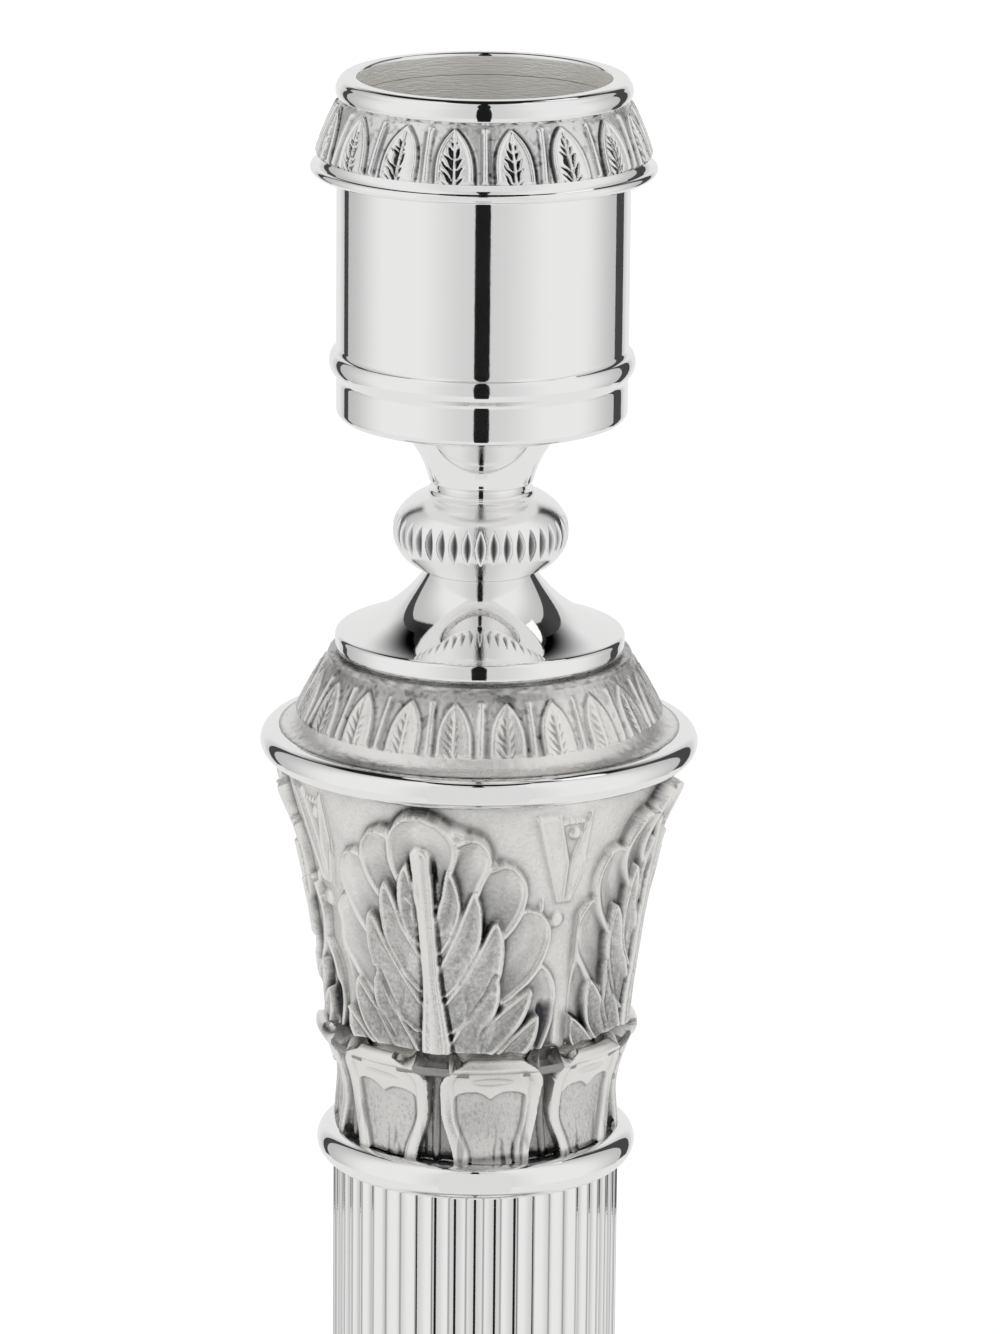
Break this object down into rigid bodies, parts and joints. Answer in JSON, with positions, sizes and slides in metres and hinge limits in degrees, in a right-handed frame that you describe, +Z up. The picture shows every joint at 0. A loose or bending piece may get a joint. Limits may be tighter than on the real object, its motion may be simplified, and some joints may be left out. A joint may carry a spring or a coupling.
{
  "type": "candlestick",
  "caption": "Tall silver column candlestick with a lift-off candle socket, leaf-cast capital, fluted shaft and round stepped foot.",
  "frame": {"origin": "centre of the felt pad's underside, on the table", "axes": "+Z up along the column, towards the candle; +X to the object's right as seen from its front, which faces -Y"},
  "size_m": [0.1184, 0.1184, 0.3],
  "materials": {
    "polished_silver": "mirror-polished silver plate",
    "cast_silver": "cast silver plate, dark in its recesses and rubbed bright on its edges",
    "reeded_silver": "polished fluted silver plate",
    "brass": "turned brass",
    "steel": "plain zinc-plated steel",
    "filler": "cast resin filler",
    "felt": "dark green felt"
  },
  "bodies": {
    "stand": {"capital_shoulder": "cast_silver", "capital_bush": "brass", "abacus_ring": "polished_silver", "capital_bell": "cast_silver", "leaf_calyx": "cast_silver", "astragal_ring": "polished_silver", "column_tube": "reeded_silver", "column_top_plug": "brass", "column_bottom_plug": "brass", "tie_rod": "steel", "base_collar": "polished_silver", "base_dome": "polished_silver", "base_leaf_band": "cast_silver", "base_rim": "polished_silver", "base_weight": "filler", "base_plate": "steel", "base_washer": "steel", "base_nut": "steel", "felt_pad": "felt"},
    "socket_unit": {"socket_collar": "cast_silver", "socket_cup": "polished_silver", "socket_neck": "polished_silver", "knop": "polished_silver", "spreader_foot": "polished_silver", "spigot": "brass", "cup_screw": "steel"}
  },
  "joints": [
    {"name": "socket_lift", "type": "slide", "parent": "stand", "child": "socket_unit", "axis": [0, 0, 1], "range_m": [0, 0.03]}
  ]
}
